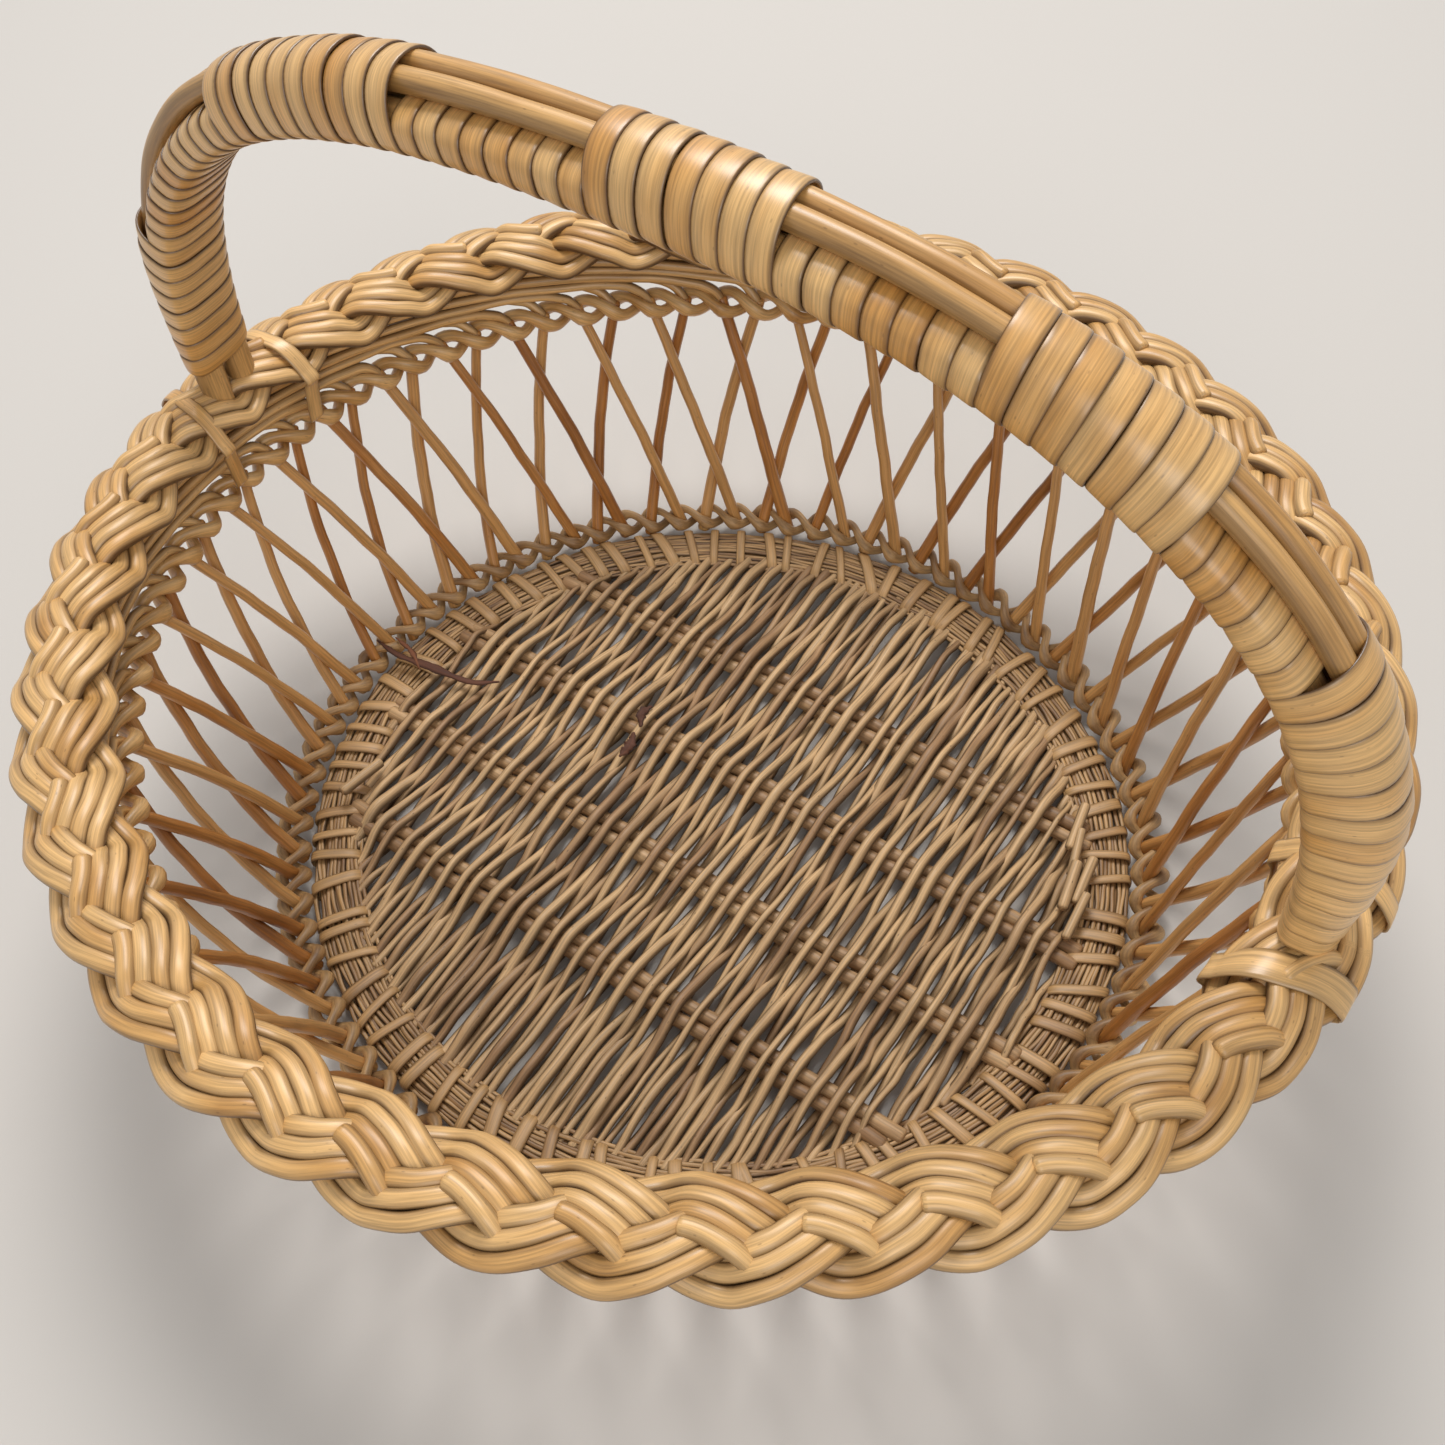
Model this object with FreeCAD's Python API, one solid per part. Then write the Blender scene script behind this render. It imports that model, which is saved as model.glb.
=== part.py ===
import FreeCAD, Part
import math
import os

# Oval willow basket with an openwork side and a fixed arched handle.
# Millimetres.  +Z is up, X runs along the handle's span.
# The origin is on the floor, in the middle of the base.

# ---- overall sizes -------------------------------------------------------
rim_half_length = 225.0        # outer edge of the plaited border, along X
rim_half_width = 209.0         # outer edge of the plaited border, along Y
rim_height = 137.0             # top of the border above the floor
base_half_length = 163.4       # centre line of the base twine, along X
base_half_width = 154.6        # centre line of the base twine, along Y
handle_height = 293.0          # centre line of the handle at its crown

# ---- rods and strips -----------------------------------------------------
stake_diameter = 4.6
base_twine_diameter = 4.4
fitching_diameter = 5.2
border_strand_diameter = 8.2
foundation_diameter = 4.0
stick_diameter = 5.6
weaver_diameter = 3.1
core_diameter = 12.4
leader_diameter = 6.8
skein_thickness = 1.2          # split willow used for the lapping and ties

# ---- counts --------------------------------------------------------------
stake_pairs = 42
stake_groups = 6               # the stakes are kept in this many sub-parts per layer
ring_lengths = 6               # rods joined end to end round each ring
stick_pairs = 4
braid_strands = 3

# ---- fits ----------------------------------------------------------------
touch_gap = 0.15               # between surfaces that bear on each other
loose_gap = 0.3                # between neighbours that only lie side by side
butt_gap = 0.4                 # between rod ends that meet in a ring
stake_hold = 0.85              # room round a stake inside a twine
twist_gap = 0.4                # between the two rods of a twine where they cross
braid_clearance = 0.9          # between crossing strands of the border

# ---- base ----------------------------------------------------------------
hoop_width = 15.0
hoop_thickness = 6.0
scallom_thickness = 1.2
scallom_width = 7.0
base_twine_height = 9.0        # centre line above the floor
stake_foot_height = 1.6
stick_pitch = 46.4             # from one pair of base sticks to the next
weaver_pitch = 3.5
weaver_end_margin = 9.0        # wood left past the last pair that a weaver crosses

# ---- side and border -----------------------------------------------------
fitching_drop = 36.0           # fitching's centre line below the rim
border_overhang = 16.6         # border's centre line inside the rim's outer edge
border_swing = 12.5            # how far a strand swings to each side
stake_outward_bow = 1.0        # common bow of both layers
layer_shift = 2                # stake places moved between fitching and base

# ---- handle --------------------------------------------------------------
foot_inset = 3.2               # handle's centre line inside the border's
arch_power = 2.55              # 2 is an ellipse, more is squarer
lapping_pitch = 7.7
lapping_width = 7.1
# Turns over the leaders, then under them, and so on from the right foot; the
# turns left over at the left foot go over them.
stretch_turns = (13, 6, 7, 7, 7, 8, 10, 11)
tie_width = 8.0
tie_places = 1.5               # tie's distance from the foot, in stake places


def oval(half_length, half_width, turn, height):
    """Point on a level oval; turn runs from 0 to 1 round it."""
    angle = 2.0 * math.pi * turn
    x = half_length * math.cos(angle)
    y = half_width * math.sin(angle)
    return FreeCAD.Vector(x, y, height)


def sweep_rod(points, diameter):
    """Round rod along a smooth open curve through the points."""
    curve = Part.BSplineCurve()
    curve.interpolate(points)
    path = Part.Wire([curve.toShape()])
    start = curve.value(curve.FirstParameter)
    heading = curve.tangent(curve.FirstParameter)[0]
    ring = Part.Wire([Part.Circle(start, heading, diameter / 2.0).toShape()])
    return path.makePipeShell([ring], True, False)


def ring_rods(path, steps, diameter, circuit):
    """A ring of rods laid end to end; path(turn) gives the centre line."""
    gap = butt_gap / circuit
    rods = []
    for length in range(ring_lengths):
        start = length / ring_lengths + gap / 2.0
        end = (length + 1) / ring_lengths - gap / 2.0
        count = steps // ring_lengths
        points = []
        for step in range(count + 1):
            points.append(path(start + (end - start) * step / count))
        rods.append(sweep_rod(points, diameter))
    return rods


def oval_circuit(half_length, half_width):
    """Distance round an oval."""
    return math.pi * (half_length + half_width)


def export(name, solids):
    """Write one sub-part, as a single solid or a group of separate ones."""
    shape = solids[0] if len(solids) == 1 else Part.makeCompound(solids)
    shape.exportStep(os.path.join("parts", name + ".step"))


# ---- places worked out from the sizes ------------------------------------
stake_count = 2 * stake_pairs
fitching_height = rim_height - fitching_drop
border_length = rim_half_length - border_overhang
border_width = rim_half_width - border_overhang

# Three strands offset by a third of a wave cross with this share of their lift.
crossing_share = 2.0 * math.sin(math.pi / 3.0)
border_lift = (border_strand_diameter + braid_clearance) / crossing_share
border_half_height = border_lift + border_strand_diameter / 2.0
border_height = rim_height - border_half_height
border_bottom = rim_height - 2.0 * border_half_height

# The wall leans out in a straight line from the base twine to the border.
wall_rise = border_height - base_twine_height


def wall_oval(height):
    """Half length and half width of the wall's middle surface at a height."""
    share = (height - base_twine_height) / wall_rise
    half_length = base_half_length + (border_length - base_half_length) * share
    half_width = base_half_width + (border_width - base_half_width) * share
    return half_length, half_width


wall_lean = math.atan2(border_length - base_half_length, wall_rise)


def twine_rods(height, rod_diameter):
    """Two rods twisted round each other, with every stake held between them."""
    half_length, half_width = wall_oval(height)
    swing = (stake_diameter + rod_diameter) / 2.0 + stake_hold
    swing = swing / math.cos(wall_lean)
    lift = (rod_diameter + twist_gap) / 2.0
    rods = []
    for side in (1.0, -1.0):

        def path(turn):
            phase = 2.0 * math.pi * stake_pairs * turn
            outward = side * swing * math.cos(phase)
            rise = -side * lift * math.sin(phase)
            return oval(half_length + outward, half_width + outward, turn, height + rise)

        circuit = oval_circuit(half_length, half_width)
        rods += ring_rods(path, 6 * stake_pairs, rod_diameter, circuit)
    return rods, swing, lift


# ---- base hoop and the scalloms wrapped round it --------------------------
base_twine_rods, base_swing, base_lift = twine_rods(base_twine_height, base_twine_diameter)
base_twine_reach = base_swing + base_twine_diameter / 2.0
wrap_wall = scallom_thickness + touch_gap
wrap_outside = base_twine_reach + loose_gap
hoop_inset = wrap_outside + wrap_wall + hoop_width / 2.0
hoop_half_length = base_half_length - hoop_inset
hoop_half_width = base_half_width - hoop_inset
hoop_height = wrap_wall + hoop_thickness / 2.0
mat_inset = wrap_outside + 2.0 * wrap_wall + hoop_width + loose_gap
mat_half_length = base_half_length - mat_inset
mat_half_width = base_half_width - mat_inset


def rounded_section(place, out, up, width, height, radius):
    """Closed wire: a rounded rectangle centred on place, across out and up."""
    flat = width / 2.0 - radius
    tall = height / 2.0 - radius
    corner = radius * math.sqrt(0.5)
    edges = []

    def at(right, top):
        return place + out * right + up * top

    signs = ((1, 1), (-1, 1), (-1, -1), (1, -1))
    for number, (right, top) in enumerate(signs):
        beside = at(right * (flat + radius), top * tall)
        above = at(right * flat, top * (tall + radius))
        middle = at(right * (flat + corner), top * (tall + corner))
        first, last = (beside, above) if right == top else (above, beside)
        edges.append(Part.Arc(first, middle, last).toShape())
        next_right, next_top = signs[(number + 1) % 4]
        if next_right == next_top:
            onward = at(next_right * (flat + radius), next_top * tall)
        else:
            onward = at(next_right * flat, next_top * (tall + radius))
        edges.append(Part.makeLine(last, onward))
    return Part.Wire(edges)


UP = FreeCAD.Vector(0, 0, 1)


def oval_frame(half_length, half_width, turn, height):
    """Point on an oval with its level outward direction and its heading."""
    angle = 2.0 * math.pi * turn
    heading = FreeCAD.Vector(-half_length * math.sin(angle), half_width * math.cos(angle), 0)
    heading.normalize()
    outward = heading.cross(UP)
    return oval(half_length, half_width, turn, height), outward, heading


def make_hoop():
    """Flat hoop in lengths that meet end to end under a scallom."""
    rods = []
    gap = butt_gap / oval_circuit(hoop_half_length, hoop_half_width)
    for length in range(ring_lengths):
        start = length / ring_lengths + gap / 2.0
        end = (length + 1) / ring_lengths - gap / 2.0
        points = []
        for step in range(9):
            turn = start + (end - start) * step / 8.0
            points.append(oval(hoop_half_length, hoop_half_width, turn, hoop_height))
        curve = Part.BSplineCurve()
        curve.interpolate(points)
        place, outward, heading = oval_frame(hoop_half_length, hoop_half_width, start, hoop_height)
        section = rounded_section(place, outward, UP, hoop_width, hoop_thickness,
                                  hoop_thickness / 2.0 - 0.2)
        rods.append(Part.Wire([curve.toShape()]).makePipeShell([section], True, False))
    return rods


def make_scalloms():
    """One flat loop round the hoop for every stake."""
    loops = []
    for number in range(stake_count):
        turn = (number + 0.5) / stake_count
        place, outward, heading = oval_frame(hoop_half_length, hoop_half_width, turn, hoop_height)
        place = place - heading * (scallom_width / 2.0)
        inner_width = hoop_width + 2.0 * touch_gap
        inner_height = hoop_thickness + 2.0 * touch_gap
        radius = hoop_thickness / 2.0
        inner = rounded_section(place, outward, UP, inner_width, inner_height, radius)
        outer = rounded_section(place, outward, UP, inner_width + 2.0 * scallom_thickness,
                                inner_height + 2.0 * scallom_thickness,
                                radius + scallom_thickness)
        run = heading * scallom_width
        loops.append(Part.Face(outer).extrude(run).cut(Part.Face(inner).extrude(run)))
    return [loop.Solids[0] for loop in loops]


# ---- base mat --------------------------------------------------------------
# A weaver's centre line is this far above or below the sticks' centre line.
weaver_lift = (stick_diameter + weaver_diameter) / 2.0 + touch_gap
mat_height = weaver_lift + weaver_diameter / 2.0 + loose_gap
stick_half_gap = (stick_diameter + touch_gap) / 2.0
pair_half_width = stick_half_gap + stick_diameter / 2.0


def pair_offset(pair):
    """Y of the middle of a pair of base sticks."""
    return (pair - (stick_pairs - 1) / 2.0) * stick_pitch


def mat_chord(across, half_across, half_along):
    """Half the length that a straight rod can have inside the mat's oval."""
    share = 1.0 - (across / half_across) ** 2
    return half_along * math.sqrt(share) if share > 0 else 0.0


def stick_reach(pair):
    """Half the length of both sticks of a pair."""
    outer_edge = abs(pair_offset(pair)) + pair_half_width
    return mat_chord(outer_edge, mat_half_width, mat_half_length)


def make_stick_pair(pair):
    """Two straight rods side by side."""
    sticks = []
    reach = stick_reach(pair)
    for side in (-1.0, 1.0):
        start = FreeCAD.Vector(-reach, pair_offset(pair) + side * stick_half_gap, mat_height)
        sticks.append(Part.makeCylinder(stick_diameter / 2.0, 2.0 * reach, start,
                                        FreeCAD.Vector(1, 0, 0)))
    return sticks


def weaver_points(x, row):
    """Centre line of one weaver, over and under the pairs it crosses."""
    edge = abs(x) + weaver_diameter / 2.0
    reach = mat_chord(edge, mat_half_length, mat_half_width)
    crossed = []
    for pair in range(stick_pairs):
        far_side = abs(pair_offset(pair)) + pair_half_width
        if reach > far_side + weaver_end_margin:
            crossed.append(pair)
        elif edge < stick_reach(pair) + loose_gap:
            near_side = abs(pair_offset(pair)) - pair_half_width
            reach = min(reach, near_side - weaver_diameter / 2.0 - loose_gap)
    if not crossed:
        return []
    points = [FreeCAD.Vector(x, -reach, mat_height)]
    for number, pair in enumerate(crossed):
        over = 1.0 if (pair + row) % 2 else -1.0
        for side in (-1.0, 1.0):
            y = pair_offset(pair) + side * stick_half_gap
            points.append(FreeCAD.Vector(x, y, mat_height + over * weaver_lift))
        if number + 1 < len(crossed):
            halfway = (pair_offset(pair) + pair_offset(crossed[number + 1])) / 2.0
            points.append(FreeCAD.Vector(x, halfway, mat_height))
    points.append(FreeCAD.Vector(x, reach, mat_height))
    return points


def make_weavers():
    """Rows of weavers across the sticks, alternate rows opposite."""
    rods = []
    rows = int(mat_half_length / weaver_pitch)
    for row in range(-rows, rows + 1):
        points = weaver_points(row * weaver_pitch, row)
        if points:
            rods.append(sweep_rod(points, weaver_diameter))
    return rods


# ---- side stakes -----------------------------------------------------------
fitching_rods, fitching_swing, fitching_lift = twine_rods(fitching_height, fitching_diameter)
fitching_top = fitching_height + fitching_lift + fitching_diameter / 2.0
foundation_high = border_bottom - loose_gap - foundation_diameter / 2.0
foundation_low = foundation_high - foundation_diameter - touch_gap
tie_low = foundation_low - foundation_diameter / 2.0 - loose_gap
stake_top = tie_low - skein_thickness - loose_gap

# Two stakes cross a quarter of the way from each twine, where a bow that is
# a parabola has three quarters of its full depth.
bow_at_crossing = 0.75
layer_gap = stake_diameter + loose_gap + touch_gap
layer_bow = layer_gap / math.cos(wall_lean) / 2.0 / bow_at_crossing


def stake_point(place, shift, bow, height):
    """Point on a stake that sits at place in the fitching."""
    share = (height - base_twine_height) / (fitching_height - base_twine_height)
    turn = (place + shift * (1.0 - share)) / stake_count
    half_length, half_width = wall_oval(height)
    outward = 4.0 * bow * share * (1.0 - share)
    return oval(half_length + outward, half_width + outward, turn, height)


def make_stake(place, shift, bow):
    """One bowed stake, from beside the hoop to under the border."""
    foot = stake_point(place, shift, bow, stake_foot_height)
    middle = stake_point(place, shift, bow, (stake_foot_height + stake_top) / 2.0)
    top = stake_point(place, shift, bow, stake_top)
    path = Part.Wire([Part.Arc(foot, middle, top).toShape()])
    heading = path.Edges[0].tangentAt(path.Edges[0].FirstParameter)
    ring = Part.Wire([Part.Circle(foot, heading, stake_diameter / 2.0).toShape()])
    return path.makePipeShell([ring], True, False)


def make_stake_group(group, first, shift, bow):
    """Every second stake over one part of the wall."""
    pairs = stake_pairs // stake_groups
    stakes = []
    for number in range(group * pairs, (group + 1) * pairs):
        stakes.append(make_stake(2 * number + first, shift, bow))
    return stakes


def make_foundation():
    """Two courses of laid rods between the stakes and the border."""
    rods = []
    for height in (foundation_low, foundation_high):
        half_length, half_width = wall_oval(height)

        def path(turn):
            return oval(half_length, half_width, turn, height)

        circuit = oval_circuit(half_length, half_width)
        rods += ring_rods(path, 8 * ring_lengths, foundation_diameter, circuit)
    return rods


# ---- handle's centre line ----------------------------------------------------
handle_half_span = border_length - foot_inset
handle_rise = handle_height - rim_height
core_radius = core_diameter / 2.0
core_half_gap = (core_diameter + touch_gap) / 2.0
core_bottom = border_bottom + loose_gap
core_half_width = core_half_gap + core_radius
leader_radius = leader_diameter / 2.0
leader_half_gap = (leader_diameter + touch_gap) / 2.0
open_outside = core_radius + touch_gap + skein_thickness
leader_offset = open_outside + touch_gap + leader_radius


def arch_point(quarter_turns):
    """Point on the arch; 0 and 2 are the feet at the rim, 1 is the crown."""
    angle = quarter_turns * math.pi / 2.0
    along = math.cos(angle)
    rise = math.sin(angle)
    x = handle_half_span * math.copysign(abs(along) ** (2.0 / arch_power), along)
    z = rim_height + handle_rise * abs(rise) ** (2.0 / arch_power)
    return FreeCAD.Vector(x, 0, z)


def make_arch_table(samples):
    """Points closely spaced along the arch, each with the distance to it."""
    points = [arch_point(2.0 * step / samples) for step in range(samples + 1)]
    distances = [0.0]
    for before, after in zip(points, points[1:]):
        distances.append(distances[-1] + (after - before).Length)
    return points, distances


arch_points, arch_distances = make_arch_table(2000)
arch_length = arch_distances[-1]


def arch_station(distance):
    """Point and outward direction at a distance along the arch."""
    index = 1
    while index < len(arch_distances) - 1 and arch_distances[index] < distance:
        index += 1
    before = arch_points[index - 1]
    after = arch_points[index]
    span = arch_distances[index] - arch_distances[index - 1]
    share = (distance - arch_distances[index - 1]) / span
    heading = (after - before).normalize()
    outward = FreeCAD.Vector(heading.z, 0, -heading.x)
    return before + (after - before) * share, outward


def arch_rod(outward_offset, side_offset, diameter, bottom):
    """Rod that follows the arch at an offset, its ends straight down to bottom."""
    stations = 36
    points = []
    for step in range(stations + 1):
        place, outward = arch_station(arch_length * step / stations)
        if step == 0:
            outward = FreeCAD.Vector(1, 0, 0)
        if step == stations:
            outward = FreeCAD.Vector(-1, 0, 0)
        point = place + outward * outward_offset
        points.append(FreeCAD.Vector(point.x, side_offset, point.z))
    if bottom < points[0].z:
        points.insert(0, FreeCAD.Vector(points[0].x, side_offset, bottom))
        points.append(FreeCAD.Vector(points[-1].x, side_offset, bottom))
    return sweep_rod(points, diameter)


def lapping_wire(distance, covered, growth):
    """Section of the lapping, square to the arch."""
    place, outward = arch_station(distance)
    side = FreeCAD.Vector(0, 1, 0)
    low = -core_radius - touch_gap
    high = core_radius + touch_gap
    if covered:
        high = leader_offset + leader_radius + touch_gap
    middle = place + outward * ((low + high) / 2.0)
    width = 2.0 * (core_half_width + touch_gap + growth)
    return rounded_section(middle, outward, side, high - low + 2.0 * growth, width,
                           core_radius - skein_thickness + growth)


def goes_over(number):
    """True where this turn of the lapping goes over the leaders."""
    covered = True
    for length in stretch_turns:
        if number < length:
            return covered
        number -= length
        covered = not covered
    return True


def make_lapping():
    """Turns of split willow, in stretches over and under the leaders."""
    turns = []
    count = int((arch_length - 2.0 * loose_gap) / lapping_pitch)
    spare = arch_length - count * lapping_pitch
    for number in range(count):
        start = spare / 2.0 + number * lapping_pitch
        end = start + lapping_width
        covered = goes_over(number)
        pair = []
        for growth in (skein_thickness, 0.0):
            wires = [lapping_wire(start, covered, growth), lapping_wire(end, covered, growth)]
            pair.append(Part.makeLoft(wires, True, True))
        turns.append(pair[0].cut(pair[1]).Solids[0])
    return turns


# ---- plaited border ----------------------------------------------------------
def foot_rooms():
    """Room left in the border for the ends of the handle's core."""
    rooms = []
    radius = core_radius + loose_gap
    for end in (-1.0, 1.0):
        for side in (-1.0, 1.0):
            place = FreeCAD.Vector(end * handle_half_span, side * core_half_gap,
                                   border_bottom - loose_gap)
            rooms.append(Part.makeCylinder(radius, 2.0 * border_half_height + 2.0, place, UP))
    return rooms


def make_border_strand(strand):
    """One of three strands plaited round the rim."""
    waves = stake_pairs / braid_strands

    def path(turn):
        phase = 2.0 * math.pi * (waves * turn + strand / braid_strands)
        outward = border_swing * math.sin(phase)
        rise = -border_lift * math.sin(2.0 * phase)
        return oval(border_length + outward, border_width + outward, turn, border_height + rise)

    circuit = oval_circuit(border_length, border_width)
    solids = []
    for rod in ring_rods(path, 12 * stake_pairs // braid_strands, border_strand_diameter, circuit):
        solids += rod.cut(Part.makeCompound(foot_rooms())).Solids
    return solids


# ---- ties that bind the handle to the border -----------------------------------
def make_ties(end):
    """Two flat loops round the border, one each side of the handle's foot."""
    loops = []
    for side in (-1.0, 1.0):
        middle_turn = 0.0 if end > 0 else 0.5
        turn = middle_turn + side * end * tie_places / stake_count
        place, outward, heading = oval_frame(border_length, border_width, turn, 0.0)
        low = tie_low
        high = rim_height + loose_gap
        reach = border_swing + border_strand_diameter / 2.0 + loose_gap
        place = place + UP * ((low + high) / 2.0) - heading * (tie_width / 2.0)
        radius = 6.0
        inner = rounded_section(place, outward, UP, 2.0 * reach, high - low, radius)
        outer = rounded_section(place, outward, UP, 2.0 * (reach + skein_thickness),
                                high - low + 2.0 * skein_thickness, radius + skein_thickness)
        run = heading * tie_width
        loops.append(Part.Face(outer).extrude(run).cut(Part.Face(inner).extrude(run)).Solids[0])
    return loops


# ---- write every sub-part --------------------------------------------------------
os.makedirs("parts", exist_ok=True)

export("base_hoop", make_hoop())
export("base_scalloms", make_scalloms())
for pair_number in range(stick_pairs):
    export("base_stick_pair_%d" % (pair_number + 1), make_stick_pair(pair_number))
export("base_weavers", make_weavers())
export("base_twine", base_twine_rods)
for group_number in range(stake_groups):
    export("inner_stakes_%d" % (group_number + 1),
           make_stake_group(group_number, 0, -layer_shift, stake_outward_bow - layer_bow))
    export("outer_stakes_%d" % (group_number + 1),
           make_stake_group(group_number, 1, layer_shift, stake_outward_bow + layer_bow))
export("top_fitching", fitching_rods)
export("border_foundation", make_foundation())
for strand_number in range(braid_strands):
    export("border_strand_%d" % (strand_number + 1), make_border_strand(strand_number))
export("handle_core_front", [arch_rod(0.0, -core_half_gap, core_diameter, core_bottom)])
export("handle_core_back", [arch_rod(0.0, core_half_gap, core_diameter, core_bottom)])
export("handle_leader_front", [arch_rod(leader_offset, -leader_half_gap, leader_diameter,
                                        rim_height + loose_gap)])
export("handle_leader_back", [arch_rod(leader_offset, leader_half_gap, leader_diameter,
                                       rim_height + loose_gap)])
export("handle_lapping", make_lapping())
export("handle_ties_left", make_ties(-1.0))
export("handle_ties_right", make_ties(1.0))
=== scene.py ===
import math

import bpy
import numpy as np
from mathutils import Matrix, Vector


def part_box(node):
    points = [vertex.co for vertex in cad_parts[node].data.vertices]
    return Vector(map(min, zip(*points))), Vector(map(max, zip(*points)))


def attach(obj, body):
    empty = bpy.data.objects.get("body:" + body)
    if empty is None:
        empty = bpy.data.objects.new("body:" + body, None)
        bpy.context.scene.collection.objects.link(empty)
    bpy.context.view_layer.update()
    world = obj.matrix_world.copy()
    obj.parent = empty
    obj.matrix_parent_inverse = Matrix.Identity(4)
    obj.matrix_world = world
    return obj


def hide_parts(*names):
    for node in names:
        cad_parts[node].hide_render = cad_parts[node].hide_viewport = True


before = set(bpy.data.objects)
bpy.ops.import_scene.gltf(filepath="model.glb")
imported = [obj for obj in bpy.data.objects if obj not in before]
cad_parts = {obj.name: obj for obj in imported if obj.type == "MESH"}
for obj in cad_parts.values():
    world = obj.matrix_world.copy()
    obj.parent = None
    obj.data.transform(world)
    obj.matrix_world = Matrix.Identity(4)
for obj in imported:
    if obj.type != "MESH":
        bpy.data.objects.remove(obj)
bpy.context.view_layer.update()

# Oval willow basket: stick-and-weaver base, crossed side stakes, plaited border
# and an arched handle lapped with split willow.
# Lengths in this script are in millimetres, and make_piece turns them into metres.

chance = np.random.default_rng(41)
METRE = 1000.0


# ---- sizes taken from the frame ------------------------------------------------
def reach(*nodes):
    """Lowest and highest corners over some nodes, in millimetres."""
    boxes = [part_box(node) for node in nodes]
    low = np.min([np.array(box[0]) for box in boxes], axis=0)
    high = np.max([np.array(box[1]) for box in boxes], axis=0)
    return low * METRE, high * METRE


plait_nodes = ["border_strand_%d" % (number + 1) for number in range(3)]
rim_low, rim_high = reach(*plait_nodes)
twine_low, twine_high = reach("base_twine")
fitching_low, fitching_high = reach("top_fitching")
stick_low, stick_high = reach("base_stick_pair_4")
outer_stick_low, outer_stick_high = reach("base_stick_pair_1")
ring_high = reach("base_scalloms")[1]
core_low, core_high = reach("handle_core_front")
leader_low, leader_high = reach("handle_leader_front")

stakes = 84                     # 42 inside and 42 outside
border_half_width = 16.6        # from the border's middle to its outer edge
border_middle = np.array([rim_high[0], rim_high[1]]) - border_half_width
twine_reach = 7.9               # from the base twine's middle to its outer edge
twine_middle = np.array([twine_high[0], twine_high[1]]) - twine_reach
twine_height = (twine_low[2] + twine_high[2]) / 2.0
fitching_height = (fitching_low[2] + fitching_high[2]) / 2.0
border_height = (rim_low[2] + rim_high[2]) / 2.0
ring_width = 17.7               # base ring across its wraps
ring_middle = np.array([ring_high[0], ring_high[1]]) - ring_width / 2.0
ring_height = ring_high[2] / 2.0
mat_edge = ring_middle - ring_width / 2.0


def wall(height):
    """Half length and half width of the side at a height; it leans out in a straight line."""
    share = (np.asarray(height) - twine_height) / (border_height - twine_height)
    return twine_middle[0] + (border_middle[0] - twine_middle[0]) * share, \
        twine_middle[1] + (border_middle[1] - twine_middle[1]) * share


def on_oval(halves, turn, height, out=0.0):
    """Points on a level oval, moved outwards; turn runs from 0 to 1 round it."""
    angle = 2.0 * math.pi * np.asarray(turn)
    x = (halves[0] + out) * np.cos(angle)
    y = (halves[1] + out) * np.sin(angle)
    return np.stack([x, y, np.broadcast_to(height, x.shape)], axis=-1)


def outwards(halves, turn):
    """Level outward directions of an oval."""
    angle = 2.0 * math.pi * np.asarray(turn)
    way = np.stack([halves[1] * np.cos(angle), halves[0] * np.sin(angle), np.zeros_like(angle)], axis=-1)
    return unit(way)


# ---- rods and strips -------------------------------------------------------------
def unit(way):
    """Directions scaled to a length of 1."""
    return way / np.maximum(np.linalg.norm(way, axis=-1, keepdims=True), 1e-9)


def smooth(start, end, value):
    """0 before start, 1 after end, and a soft rise between them."""
    share = np.clip((value - start) / (end - start), 0.0, 1.0)
    return share * share * (3.0 - 2.0 * share)


def wander(share, waves, size):
    """Slow random change along a rod; whole numbers of waves close on a ring."""
    start = chance.uniform(0.0, 2.0 * math.pi, 3)
    turn = 2.0 * math.pi * np.asarray(share)
    low = np.sin(waves * turn + start[0])
    middle = 0.6 * np.sin((2 * waves + 1) * turn + start[1])
    high = 0.35 * np.sin((4 * waves + 3) * turn + start[2])
    return size * (low + middle + high) / 1.4


def through(knots, count):
    """Smooth curve through a few rows of numbers, as count rows."""
    knots = np.asarray(knots, float)
    ahead = np.vstack([2.0 * knots[0] - knots[1], knots, 2.0 * knots[-1] - knots[-2]])
    place = np.linspace(0.0, len(knots) - 1.000001, count)
    index = place.astype(int)
    share = (place - index)[:, None]
    before, first, second, after = (ahead[index + step] for step in range(4))
    slope_in = (second - before) / 2.0
    slope_out = (after - first) / 2.0
    square = share * share
    cube = square * share
    return first * (2 * cube - 3 * square + 1) + slope_in * (cube - 2 * square + share) \
        + second * (3 * square - 2 * cube) + slope_out * (cube - square)


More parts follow.
